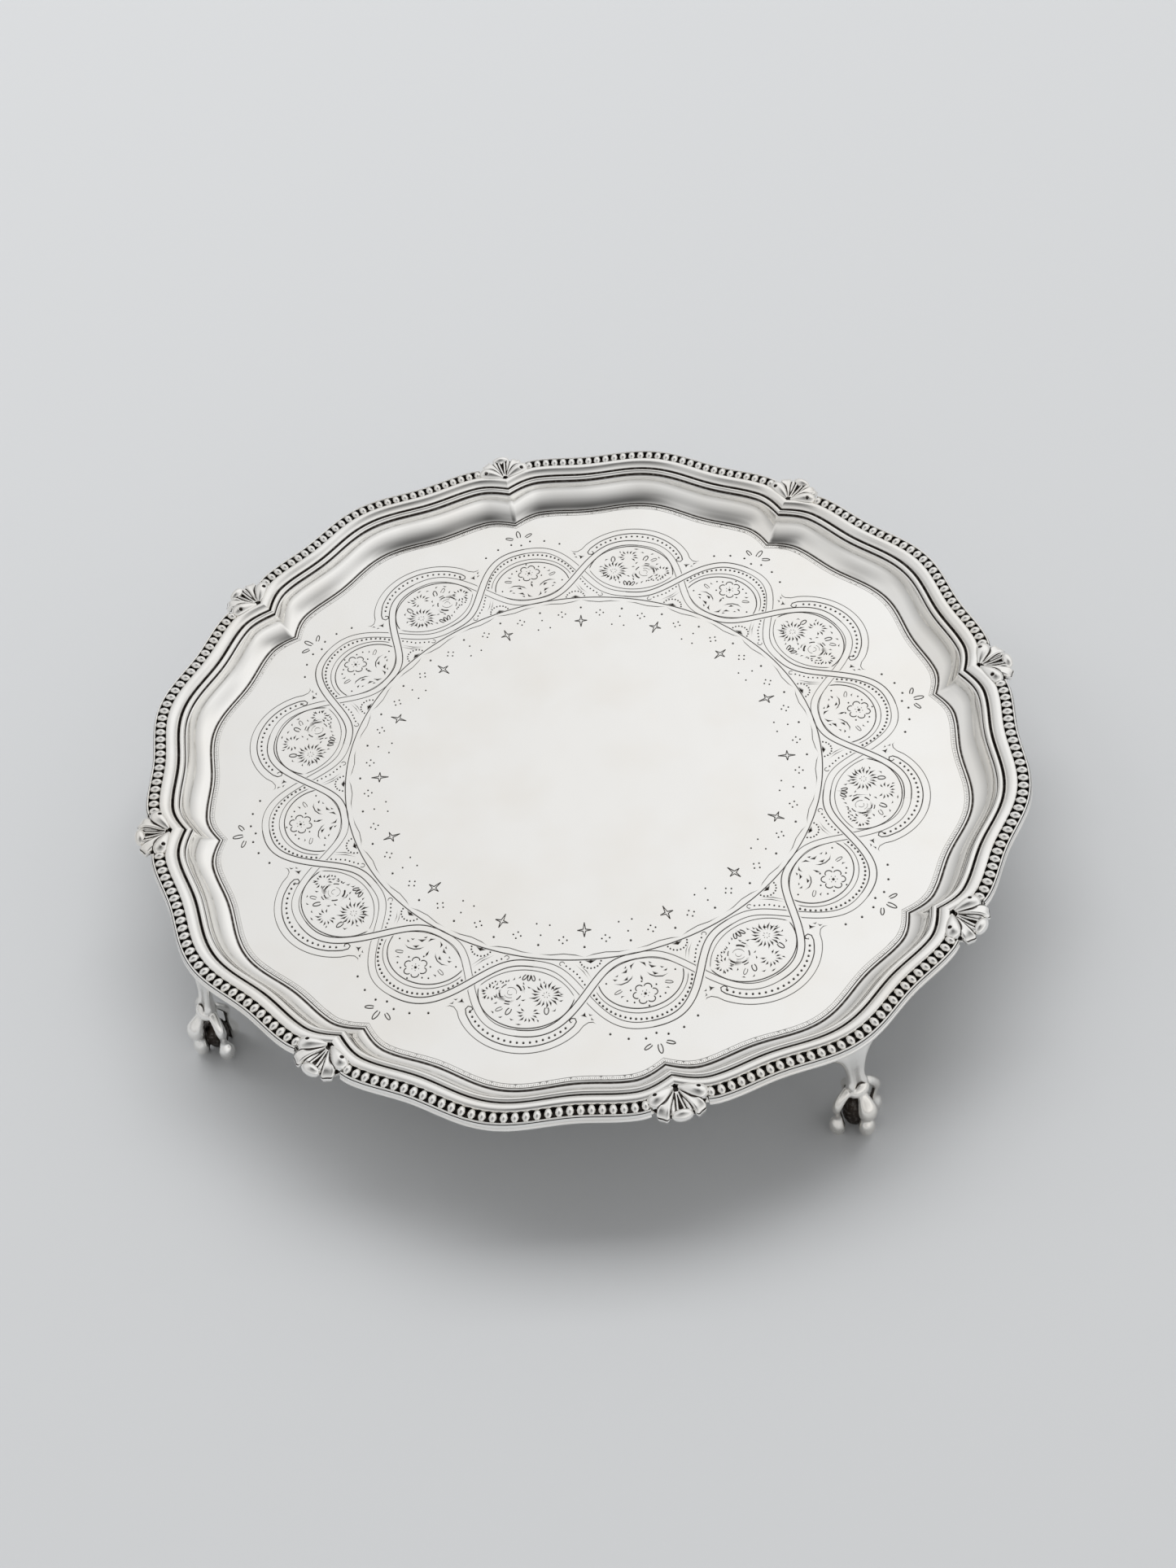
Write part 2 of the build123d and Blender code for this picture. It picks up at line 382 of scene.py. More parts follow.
def silver_material(name, roughness, ripple, scratches, tarnish):
    """Polished silver. Its darkness attribute turns it brown-black: oxide in its hollows, and painted shade
    where the meshes set it. Ripple is how uneven the hammered surface is, scratches how deep the wiping marks
    are and tarnish how warm the cloudy areas get."""
    material = bpy.data.materials.new(name)
    shader = Shader(material)
    surface = shader.nodes["Principled BSDF"]
    surface.inputs["Metallic"].default_value = 1.0

    # Colour: bright silver, cloudy warm tarnish, then brown-black where the darkness attribute is: oxide, and
    # painted shade
    clouds = shader.spread(shader.noise(45, 5), 0.42, 0.72, 0.0, tarnish)
    bright = shader.mixed(clouds, (0.955, 0.945, 0.92, 1), (0.80, 0.72, 0.60, 1))
    patina_and_shade = shader.add("Attribute")
    patina_and_shade.attribute_name = "patina_and_shade"
    mottled = shader.spread(shader.noise(900, 3), 0.3, 0.7, 0.88, 1.1)
    oxide_and_shade = shader.spread(patina_and_shade.outputs["Fac"], 0.12, 0.5, 0.0, 1.0)
    dark = shader.maths("MULTIPLY", oxide_and_shade, mottled)
    shader.feed(surface.inputs["Base Color"], shader.mixed(dark, bright, (0.045, 0.036, 0.03, 1)))

    # Roughness: worn patches, fine wiping marks and dull oxide
    worn = shader.spread(shader.noise(120, 6), 0.3, 0.7, roughness * 0.7, roughness * 1.5)
    dull = shader.spread(dark, 0.0, 1.0, 0.0, 0.35)
    shader.feed(surface.inputs["Roughness"], shader.maths("ADD", worn, dull))

    # Relief: hammered ripple and two directions of fine scratches
    normal = shader.add("Bump", Strength=1.0, Distance=ripple, Height=shader.noise(28, 2)).outputs["Normal"]
    for stretch in ((1, 24, 1), (22, 1.4, 1)):
        marks = shader.noise(160, 3, stretch)
        relief = shader.add("Bump", Strength=1.0, Distance=scratches, Height=marks, Normal=normal)
        normal = relief.outputs["Normal"]
    shader.feed(surface.inputs["Normal"], normal)
    return material


def floor_material():
    """Pale paper with a faint grain."""
    material = bpy.data.materials.new("pale_paper")
    shader = Shader(material)
    grain = shader.add("TexNoise", Scale=900)
    relief = shader.add("Bump", Distance=0.00004, Height=grain.outputs["Fac"])
    surface = shader.nodes["Principled BSDF"]
    surface.inputs["Base Color"].default_value = (0.555, 0.565, 0.575, 1)
    surface.inputs["Roughness"].default_value = 0.9
    shader.feed(surface.inputs["Normal"], relief.outputs["Normal"])
    return material


# ---- engraving

def oval(centre, half_width, half_height, start, end, steps=36):
    """Points of an oval arc, its angles counted from the outward direction, clockwise."""
    turns = [radians(angle) for angle in evenly(start, end, steps)]
    return [(centre[0] + half_width * sin(turn), centre[1] + half_height * cos(turn)) for turn in turns]


def around(centre, radius, turn):
    """The point at a radius from a centre, its angle counted like an oval's."""
    return (centre[0] + radius * sin(radians(turn)), centre[1] + radius * cos(radians(turn)))


class Engraving:
    """Cuts in one lobe's share of the field, drawn about one radius, the axis. Each cut is a centre line
    with a half width at every point. Places are (across, out): across runs clockwise from the axis and out
    from the tray's centre, both as fractions of the ornament's radius."""

    def __init__(self, axis=0.0, cuts=None):
        self.axis = axis
        self.cuts = [] if cuts is None else cuts

    def at(self, axis):
        """The same engraving, drawn about another radius."""
        return Engraving(axis, self.cuts)

    def place(self, across, out):
        c, s = cos(radians(self.axis)), sin(radians(self.axis))
        return (ORNAMENT_RADIUS * (out * c + across * s), ORNAMENT_RADIUS * (out * s - across * c))

    def line(self, points, width, tapered=True):
        """A cut along points, running out to nothing at its ends."""
        if len(points) < 2:
            return
        halves = [width / 2] * len(points)
        if tapered:
            halves[0] = halves[-1] = 0.0
        self.cuts.append(([self.place(*point) for point in points], halves))

    def nick(self, start, end, width, bend=0.0):
        """A short leaf-shaped cut, bent to one side by a share of its length."""
        across, out = end[0] - start[0], end[1] - start[1]
        middle = (start[0] + across / 2 - bend * out, start[1] + out / 2 + bend * across)
        self.line([start, middle, end], width)

    def nicks(self, side, rows):
        """Nicks on one side of the axis. Each row is start, end, width and bend."""
        for start, end, width, bend in rows:
            self.nick((side * start[0], start[1]), (side * end[0], end[1]), width, side * bend)

    def dot(self, across, out, width):
        """A round punched dot."""
        self.cuts.append(([self.place(across, out)], [width / 2]))

    def circle(self, centre, radius, start, end, width, steps=24):
        """A cut along an arc of a circle."""
        self.line(oval(centre, radius, radius, start, end, steps), width)


def band_radius(angle, side):
    """The middle of one of two interlaced bands, at an angle from a leaf mount. Side +1 arches over the
    medallions at the mounts and side -1, which swings wider, over those between."""
    phase = radians(LOBES * angle)
    wave = side * (cos(phase) - 0.075 * cos(3 * phase)) / 0.925
    swing = BAND_SWING if side > 0 else WIDE_BAND_SWING
    return BAND_MIDDLE + (swing + BAND_LIFT * wave) * wave


def band_slope(angle, side):
    """How steeply the middle of a band leaves its radius."""
    step = 0.01
    rise = band_radius(angle + step, side) - band_radius(angle - step, side)
    return rise / radians(2 * step) / band_radius(angle, side)


def band_points(start, end, side, shift, steps):
    """Points of a line that runs beside the middle of a band, shifted outwards, as (across, out)."""
    points = []
    for angle in evenly(start, end, steps):
        radius = band_radius(angle, side)
        slope = band_slope(angle, side)
        level = 1 / sqrt(1 + slope * slope)
        turn = radians(angle) - shift * slope * level / radius
        reach = radius + shift * level
        points.append((-reach * sin(turn), reach * cos(turn)))
    return points


def clear_runs(points, side, clearance):
    """The stretches of a line that keep clear of the other band."""
    runs, run = [], []
    for across, out in points:
        angle = degrees(atan2(-across, out))
        gap = abs(hypot(across, out) - band_radius(angle, -side))
        slope = band_slope(angle, -side)
        if gap / sqrt(1 + slope * slope) < clearance:
            runs.append(run)
            run = []
        else:
            run.append((across, out))
    runs.append(run)
    return [run for run in runs if len(run) > 1]


def spaced(points, count):
    """Evenly spaced points along a line."""
    line = np.array(points)
    lengths = np.concatenate([[0], np.cumsum(np.hypot(*np.diff(line, axis=0).T))])
    wanted = lengths[-1] * np.linspace(0, 1, count)
    return list(zip(np.interp(wanted, lengths, line[:, 0]), np.interp(wanted, lengths, line[:, 1])))


def engrave_bands(art):
    """The two interlaced bands: at each crossing one runs over and the other is broken."""
    for side in (1, -1):
        for shift in (-BAND_HALF_WIDTH, BAND_HALF_WIDTH):
            for start in (-BULGE_ANGLE, 0.0):
                line = band_points(start, start + BULGE_ANGLE, side, shift, 48)
                falls = band_radius(start, side) > band_radius(start + BULGE_ANGLE, side)
                if falls:
                    art.line(line, BOLD_CUT, tapered=False)
                    continue
                for run in clear_runs(line, side, BAND_HALF_WIDTH * 1.15):
                    art.line(run, FINE_CUT, tapered=False)


def engrave_frame(art, corner, top, bottom):
    """A medallion's pointed-oval frame: a round arch over a shallower bowl, corner to corner."""
    art.line(oval((0, corner[1]), corner[0], top - corner[1], -90, 90), BOLD_CUT)
    depth = corner[1] - bottom
    radius = (corner[0] ** 2 + depth ** 2) / (2 * depth)
    half_turn = degrees(atan2(corner[0], radius - depth))
    art.circle((0, bottom + radius), radius, 180 - half_turn, 180 + half_turn, FINE_CUT, 30)


def engrave_daisy(art, centre, inner, outer, petals, width, skip=()):
    """A ring of radiating petal cuts."""
    for petal in range(petals):
        if petal in skip:
            continue
        turn = 360 * (petal + 0.5) / petals
        reach = outer * (1.0 if petal % 2 else 0.86)
        art.nick(around(centre, inner, turn), around(centre, reach, turn), width, 0.12)


def engrave_loop(art, centre, half_width, half_height, lean, width):
    """A small petal outline, leaning clockwise."""
    c, s = cos(radians(lean)), sin(radians(lean))
    points = []
    for across, out in oval((0, 0), half_width, half_height, 200, 520, 16):
        points.append((centre[0] + c * across + s * out, centre[1] + c * out - s * across))
    art.line(points, width)


def engrave_small_medallion(art):
    """A six-petalled flower on a stem between scrolls, inside the medallion at a leaf mount."""
    engrave_frame(art, (0.098, 0.647), 0.737, 0.600)
    art.line(oval((0, 0.645), 0.1085, 0.1045, -80, 80), FINE_CUT)
    for across, out in spaced(oval((0, 0.645), 0.117, 0.121, -76, 76), 27):
        art.dot(across, out, BOLD_DOT)
    flower = (0.0, 0.698)
    art.dot(*flower, 0.95)
    for petal in range(6):
        turn = 60 * petal + 28
        art.circle(around(flower, 0.0195, turn), 0.0088, turn - 105, turn + 105, BOLD_CUT, 12)
        art.dot(*around(flower, 0.009, turn), 0.36)
        art.dot(*around(flower, 0.0345, turn - 30), FINE_DOT)
    art.nick((-0.002, 0.665), (0.0, 0.643), 0.7)
    scroll = [(0.015, 0.640), (0.022, 0.650), (0.033, 0.658), (0.048, 0.661), (0.064, 0.656)]
    leaflets = (((0.028, 0.642), (0.042, 0.652), 0.85, 0.2), ((0.024, 0.620), (0.042, 0.631), 0.85, 0.2),
                ((0.005, 0.608), (0.018, 0.628), 0.7, -0.2), ((0.026, 0.612), (0.034, 0.620), 0.55, 0.2),
                ((0.052, 0.646), (0.064, 0.642), 0.6, 0.2), ((0.048, 0.632), (0.058, 0.637), 0.5, 0.2))
    for side in (-1, 1):
        art.line([(side * across, out) for across, out in scroll], BOLD_CUT)
        art.nicks(side, leaflets)
        engrave_loop(art, (side * 0.058, 0.680), 0.0035, 0.010, side * 70, FINE_CUT)
        art.nick((side * 0.046, 0.694), (side * 0.058, 0.699), 0.5, -side * 0.25)
        art.dot(side * 0.080, 0.650, FINE_DOT)
        art.dot(side * 0.044, 0.708, FINE_DOT)


def engrave_large_medallion(art):
    """Daisies round a rose, inside the medallion between two leaf mounts."""
    engrave_frame(art, (0.111, 0.678), 0.777, 0.6175)
    daisy, second, rose = (-0.046, 0.680), (-0.016, 0.736), (0.036, 0.684)
    engrave_daisy(art, daisy, 0.014, 0.041, 18, 0.66)
    engrave_daisy(art, daisy, 0.004, 0.011, 7, 0.35)
    engrave_daisy(art, second, 0.010, 0.029, 13, 0.6, skip=(5, 6, 7))
    engrave_daisy(art, (0.080, 0.690), 0.010, 0.025, 12, 0.6, skip=(8, 9))
    rose_petals = ((0.007, -60, 150, 0.24), (0.014, 130, 290, 0.26), (0.015, -30, 60, 0.24),
                   (0.0245, 200, 254, 0.62), (0.025, 280, 318, 0.45), (0.025, -12, 20, 0.5),
                   (0.025, 52, 84, 0.6), (0.0245, 112, 150, 0.4), (0.032, -10, 16, 0.4),
                   (0.032, 54, 74, 0.4), (0.033, 228, 248, 0.4))
    for radius, start, end, width in rose_petals:
        art.circle(rose, radius, start, end, width, 10)
    engrave_loop(art, (-0.055, 0.722), 0.005, 0.010, -10, BOLD_CUT)
    engrave_loop(art, (0.030, 0.735), 0.005, 0.010, 20, BOLD_CUT)
    engrave_loop(art, (0.052, 0.732), 0.004, 0.009, 55, FINE_CUT)
    leaflets = ((-0.082, 0.690, 70), (-0.080, 0.672, 100), (-0.040, 0.752, -30), (0.010, 0.715, 30),
                (0.003, 0.700, 75), (-0.004, 0.664, 110), (0.010, 0.655, 150), (0.064, 0.716, 50),
                (0.092, 0.706, 20), (0.098, 0.688, 80), (0.086, 0.668, 120), (0.045, 0.752, 70))
    for across, out, lean in leaflets:
        middle = (across, out)
        art.nick(around(middle, -0.006, lean), around(middle, 0.006, lean), 0.5, 0.15)
    for lean in (-24, 0, 24):
        engrave_loop(art, (0.002 + 0.0004 * lean, 0.638), 0.0035, 0.0085, lean, BOLD_CUT)
    for side in (-1, 1):
        for step in range(5):
            across, out = side * (0.022 + 0.012 * step), 0.634 + 0.0065 * step
            art.nick((across, out), (across + side * 0.005, out + 0.011), 0.5, side * 0.2)
    for step in range(6):
        art.dot(0.052 + 0.006 * step, 0.655 + 0.004 * (step % 2) + 0.001 * step, FINE_DOT)
    art.nicks(1, (((-0.008, 0.7665), (0.008, 0.7675), 0.5, 0.0), ((-0.075, 0.712), (-0.066, 0.722), 0.5, 0.3),
                  ((0.012, 0.756), (0.024, 0.753), 0.5, 0.2), ((0.062, 0.748), (0.070, 0.739), 0.5, -0.2)))


def engrave_crest(art):
    """The outer arches over a large medallion, their volutes and the leaf tips at their ends."""
    centre = (0.0, 0.682)
    for across, out in spaced(oval(centre, 0.1335, 0.1335, -53, 60), 19):
        art.dot(across, out, BOLD_DOT)
    outer = oval(centre, 0.162, 0.162, -58, 58)
    inner = oval(centre, 0.1445, 0.1445, -46, 46)
    sweep = ((0.145, 0.751), (0.1545, 0.7405), (0.165, 0.738), (0.1735, 0.743))
    volute = ((0.115, 0.768), (0.1235, 0.755), (0.1275, 0.742), (0.123, 0.734), (0.1145, 0.7345),
              (0.111, 0.741), (0.116, 0.7465), (0.120, 0.742))
    for line, end, width in ((outer, sweep, FINE_CUT), (inner, volute, BOLD_CUT)):
        left = [(-across, out) for across, out in reversed(end)]
        art.line(left + line + list(end), width)
    tips = (((0.1415, 0.713), (0.1505, 0.728), 0.7, 0.3), ((0.1415, 0.713), (0.1325, 0.726), 0.7, -0.3),
            ((0.158, 0.724), (0.168, 0.733), 0.5, 0.3), ((0.150, 0.716), (0.161, 0.719), 0.5, 0.3))
    for side in (-1, 1):
        art.nicks(side, tips)


def engrave_sprig(art):
    """The three-leaved sprig and scattered dots outside a small medallion."""
    engrave_loop(art, (0.0, 0.850), 0.005, 0.0135, 0, BOLD_CUT)
    for side in (-1, 1):
        engrave_loop(art, (side * 0.025, 0.840), 0.004, 0.011, side * 62, BOLD_CUT)
        art.dot(side * 0.0255, 0.817, BOLD_DOT)
        art.dot(side * 0.063, 0.808, BOLD_DOT)
        art.dot(side * 0.100, 0.786, BOLD_DOT)
    art.dot(0.0, 0.808, BOLD_DOT)


def engrave_spandrels(art, side):
    """On each side of a small medallion: a black nick on the ring under a dotted arch, and a dotted line
    with fine lines beside it that follow the large medallion's bowl down to the ring."""
    arch = art.at(-9.9 * side)
    arch.nick((-0.014, 0.5855), (0.014, 0.5855), 1.2, 0.12)
    for across, out in spaced(oval((0, 0.585), 0.024, 0.023, -80, 80), 9):
        arch.dot(across, out, FINE_DOT)
    for across, out in spaced([(side * 0.1275, 0.640), (side * 0.139, 0.606), (side * 0.158, 0.579)], 7):
        art.dot(across, out, FINE_DOT)
    for shift in (0.007, 0.014):
        line = [(0.121, 0.634), (0.130, 0.604), (0.145, 0.578)]
        art.line([(side * (across - shift), out) for across, out in line], FINE_CUT)
    art.circle((side * 0.166, 0.570), 0.0055, side * 20, side * 300, FINE_CUT, 12)


def engrave_centre(art):
    """The ring, the swags hung inside it, and the stars and dots round the plain centre."""
    ring = [around((0, 0), RING, -quarter / 4) for quarter in range(-90, 91)]
    art.line(ring, BOLD_CUT, tapered=False)
    for star in (art.at(-BULGE_ANGLE / 2), art.at(BULGE_ANGLE / 2)):
        for direction in (-1, 1):
            swag = [(0.0, 0.576), (0.020, 0.569), (0.048, 0.564), (0.078, 0.565), (0.106, 0.561)]
            star.line([(direction * across, out) for across, out in swag], FINE_CUT)
        star.dot(0.0, 0.547, BOLD_DOT)
        for arm, reach in ((0, 0.020), (90, 0.016), (180, 0.022), (270, 0.016)):
            for lean in (-45, 45):
                sides = [around((0, 0.499), 0.004, arm + lean), around((0, 0.499), reach, arm)]
                star.line(sides, 0.4, tapered=False)
    for axis in (0, BULGE_ANGLE):
        art.at(axis).dot(0.0, 0.545, BOLD_DOT)
        art.at(axis).dot(0.0, 0.517, FINE_DOT)
        for side in (-1, 1):
            art.at(axis).dot(side * 0.0155, 0.486, FINE_DOT)
            for across, out in ((0.0, 0.009), (0.0, -0.009), (0.009, 0.0), (-0.009, 0.0)):
                art.at(axis + side * 5.9).dot(across, 0.527 + out, FINE_DOT)


def engrave_border(art):
    """The row of tiny cross cuts and the fine line inside it that follow the field's edge."""
    for step in range(CROSS_CUTS):
        angle = -BULGE_ANGLE + LOBE_ANGLE * (step + 0.5) / CROSS_CUTS
        ends = [rim_radius(angle, offset) / ORNAMENT_RADIUS for offset in CROSS_CUT_OFFSETS]
        art.at(angle).line([(0, ends[0]), (0, ends[1])], 0.22, tapered=False)
    line = []
    for angle in evenly(-BULGE_ANGLE, BULGE_ANGLE, STEPS_PER_LOBE):
        line.append(around((0, 0), rim_radius(angle, EDGE_LINE_OFFSET) / ORNAMENT_RADIUS, -angle))
    art.line(line, 0.2, tapered=False)


def engraved_sector():
    """All cuts that reach into the sector of the field centred on the first leaf mount."""
    art = Engraving()
    engrave_bands(art)
    engrave_small_medallion(art)
    engrave_large_medallion(art.at(BULGE_ANGLE))
    engrave_crest(art.at(BULGE_ANGLE))
    engrave_sprig(art)
    engrave_spandrels(art, -1)
    engrave_spandrels(art, 1)
    engrave_centre(art)
    engrave_border(art)
    cuts = []
    for lobe in (-1, 0, 1):
        for centre, halves in art.cuts:
            moved = [turned(x, y, LOBE_ANGLE * lobe) for x, y in centre]
            if any(abs(degrees(atan2(y, x))) < BULGE_ANGLE + 0.6 for x, y in moved):
                cuts.append((moved, halves))
    return cuts


def cut_outline(centre, halves, vertices, edges):
    """Adds a cut's centre line and its two lips to a planar graph. The lips run just outside the cut, so
    that they lie on the plain surface."""
    if len(centre) == 1:
        x, y = centre[0]
        reach = LIP * halves[0] / cos(pi / DOT_SIDES)
        start = len(vertices)
        vertices.append((x, y))
        for k in range(DOT_SIDES):
            turn = 2 * pi * k / DOT_SIDES
            vertices.append((x + reach * cos(turn), y + reach * sin(turn)))
            edges.append((start + 1 + k, start + 1 + (k + 1) % DOT_SIDES))
        return
    line = np.array(centre)
    along = np.gradient(line, axis=0)
    along /= np.maximum(np.hypot(*along.T), 1e-9)[:, None]
    normal = np.stack([-along[:, 1], along[:, 0]], 1)
    start = len(vertices)
    vertices.extend(tuple(point) for point in line)
    edges.extend((start + i, start + i + 1) for i in range(len(line) - 1))
    for side in (1, -1):
        lip = []
        for i, (point, half) in enumerate(zip(line, halves)):
            if half == 0:
                lip.append(start + i)
            else:
                lip.append(len(vertices))
                vertices.append(tuple(point + side * LIP * half * normal[i]))
        edges.extend(zip(lip, lip[1:]))


def cut_depths(points, cuts):
    """How deep the V-shaped cuts run at each point."""
    rows = []
    for centre, halves in cuts:
        if len(centre) == 1:
            centre, halves = centre * 2, halves * 2
        for i in range(len(centre) - 1):
            rows.append((*centre[i], *centre[i + 1], halves[i], halves[i + 1]))
    rows = np.array(rows)
    starts, ends, from_half, to_half = rows[:, :2], rows[:, 2:4], rows[:, 4], rows[:, 5]
    span = ends - starts
    length = np.maximum((span ** 2).sum(1), 1e-12)
    depths = np.zeros(len(points))
    for first in range(0, len(points), 400):
        some = points[first:first + 400]
        offset = some[:, None] - starts[None]
        share = np.clip((offset * span).sum(2) / length, 0, 1)
        gap = np.hypot(*(offset - share[..., None] * span).transpose(2, 0, 1))
        half = from_half + (to_half - from_half) * share
        depths[first:first + 400] = np.maximum(half - gap, 0).max(1)
    return CUT_SLOPE * depths


def engraved_field():
    """Points and triangles of one sector of the engraved field, with each point's depth below it."""
    cuts = engraved_sector()
    angles = evenly(-BULGE_ANGLE, BULGE_ANGLE, STEPS_PER_LOBE)
    rim = [on_rim(angle, FIELD_EDGE_OFFSET) for angle in angles]
    vertices = rim + [(0.0, 0.0)]
    edges = [(i, (i + 1) % len(vertices)) for i in range(len(vertices))]
    for centre, halves in cuts:
        cut_outline(centre, halves, vertices, edges)
    result = delaunay_2d_cdt([Vector(v) for v in vertices], edges, [], 0, 1e-5, False)
    points = np.array([v[:] for v in result[0]])
    corners = np.array([face for face in result[2] if len(face) == 3])
    middles = points[corners].mean(1)
    angles = np.degrees(np.arctan2(middles[:, 1], middles[:, 0]))
    edge = np.array([rim_radius(a, FIELD_EDGE_OFFSET) for a in angles])
    inside = (np.abs(angles) < BULGE_ANGLE) & (np.hypot(*middles.T) < edge + 0.02)
    corners = corners[inside]
    used, corners = np.unique(corners, return_inverse=True)
    corners = corners.reshape(-1, 3)
    points = points[used]
    return points, corners, cut_depths(points, cuts)


# ---- tray plate

def booge_line(thickness, levels=22):
    """The booge from foot to flange, a thickness below its inner surface."""
    foot, top = radians(BOOGE_FOOT_SLOPE), radians(BOOGE_TOP_SLOPE)
    line = []
    for level in range(levels):
        slope = foot + (top - foot) * level / (levels - 1)
        across = (sin(slope) - sin(foot)) / (sin(top) - sin(foot))
        up = (cos(foot) - cos(slope)) / (cos(foot) - cos(top))
        offset = BOOGE_OFFSET + (FLANGE_OFFSET - BOOGE_OFFSET) * across + thickness * sin(slope)
        height = FIELD_TOP + (FLANGE_TOP - FIELD_TOP) * up - thickness * cos(slope)
        line.append((offset, height))
    return line


def plate_profile():
    """The plate's section from the field's edge, up the booge, round the flange and back underneath, and how
    dark each of its corners is."""
    ridge = [(FIELD_EDGE_OFFSET, 0.0), (-9.15, -0.1), (-8.95, 0.1), (-8.7, 0.2), (-8.45, 0.1), (-8.3, -0.08)]
    top = [(offset, FIELD_TOP + height) for offset, height in ridge] + booge_line(0)
    edge = [(FLANGE_EDGE_OFFSET, FLANGE_TOP), (FLANGE_EDGE_OFFSET, FLANGE_BOTTOM)]
    underside = [point for point in reversed(booge_line(SHEET)) if point[1] < FLANGE_BOTTOM]
    profile = top + edge + [(underside[0][0] + 0.25, FLANGE_BOTTOM)] + underside
    ridge_patina = [0.0, 0.9, 0.3, 0.0, 0.3, 0.95]
    # Painted shade: the foot of the booge is darkened where a line of shadow lies along it
    booge_foot_painted_shade = [0.7, 0.25]
    patina_and_shade = ridge_patina + booge_foot_painted_shade
    return profile, patina_and_shade + [0.0] * (len(profile) - len(patina_and_shade))


def add_underside(points, faces, last_ring, angles, edge_offset):
    """The flat underside of the field: rings that shrink to the centre."""
    for share in (0.8, 0.5, 0.2):
        ring = []
        for angle in angles:
            ring.append(len(points))
            points.append((*polar(rim_radius(angle, edge_offset) * share, angle), FIELD_BOTTOM))
        for k in range(len(angles)):
            after = (k + 1) % len(angles)
            faces.append((last_ring[k], ring[k], ring[after], last_ring[after]))
        last_ring = ring
    centre = len(points)
    points.append((0, 0, FIELD_BOTTOM))
    for k in range(len(angles)):
        faces.append((last_ring[k], centre, last_ring[(k + 1) % len(angles)]))


def tray_plate(material):
    """The plate: engraved field, tooled ridge at its edge, booge, flange and plain underside."""
    profile, profile_patina_and_shade = plate_profile()
    angles = [LOBE_ANGLE * step / STEPS_PER_LOBE - BULGE_ANGLE for step in range(LOBES * STEPS_PER_LOBE)]
    count = len(profile)
    points = [(*on_rim(angle, offset), height) for angle in angles for offset, height in profile]
    faces = []
    for span in range(len(angles)):
        here, there = span * count, ((span + 1) % len(angles)) * count
        for i in range(count - 1):
            faces.append((here + i, here + i + 1, there + i + 1, there + i))
    smooth = [True] * len(faces)
    last_ring = [span * count + count - 1 for span in range(len(angles))]
    add_underside(points, faces, last_ring, angles, profile[-1][0])
    patina_and_shade = profile_patina_and_shade * len(angles)
    patina_and_shade += [0.0] * (len(points) - len(patina_and_shade))

    # Engraved field: one sector turned eight times
    sector, corners, depths = engraved_field()
    for lobe in range(LOBES):
        start = len(points)
        for (x, y), depth in zip(sector, depths):
            points.append((*turned(x, y, LOBE_ANGLE * lobe), FIELD_TOP - depth))
            patina_and_shade.append(min(1.0, depth / CUT_DARK_DEPTH))
        faces.extend((start + a, start + b, start + d) for a, b, d in corners.tolist())
    smooth += [False] * (len(faces) - len(smooth))
    mesh = mesh_of("tray_plate_visual", points, faces, patina_and_shade)
    mesh.polygons.foreach_set("use_smooth", smooth)
    weld(mesh)
    add_piece("tray_plate_silver", mesh, "tray_plate", material)


def weld(mesh):
    """Joins the sectors of a mesh where their points meet, and turns its faces outwards."""
    work = bmesh.new()
    work.from_mesh(mesh)
    bmesh.ops.remove_doubles(work, verts=work.verts, dist=0.002 * MM)
    bmesh.ops.recalc_face_normals(work, faces=work.faces)
    work.to_mesh(mesh)
    work.free()


# ---- border

def inner_moulding():
    """Section of the moulding inside the groove: roll, fine line and ovolo."""
    top = RIM_HEIGHT
    return [
        (-1.9, FLANGE_TOP), (-1.9, top - 1.1),
        *arc((-0.95, top - 1.1), 0.72, 160, 35, 8),
        (-0.14, top - 0.86), (-0.07, top - 0.98), (0.0, top - 1.04), (0.07, top - 0.98), (0.14, top - 0.84),
        *arc((2.45, top - 1.35), 2.25, 152, 75, 14),
        (3.3, top + 0.72), (3.48, top + 0.5), (3.53, top + 0.1), (3.55, top - 0.1),
        (3.55, GROOVE_FLOOR), (3.55, FLANGE_TOP),
    ]


def outer_edge():
    """Section of the groove's floor and the edge outside it: lip, dark line, facet, step and roll."""
    top = RIM_HEIGHT
    back = FLANGE_EDGE_OFFSET + 0.05
    return [
        (GROOVE_INSIDE, FLANGE_TOP), (GROOVE_INSIDE, GROOVE_FLOOR), (GROOVE_OUTSIDE, GROOVE_FLOOR),
        (6.6, top - 0.1), (6.64, top + 0.15), (6.68, top + 0.35),
        *arc((6.82, top + 0.36), 0.2, 170, 10, 5),
        (7.04, top + 0.02), (7.12, top - 0.02), (7.2, top + 0.06), (7.5, top - 0.62), (7.46, top - 0.8),
        (7.26, top - 0.88), (7.26, top - 0.98),
        *arc((6.98, top - 1.66), 0.72, 66, -58, 8),
        (7.0, FLANGE_BOTTOM), (back, FLANGE_BOTTOM), (back, FLANGE_TOP),
    ]


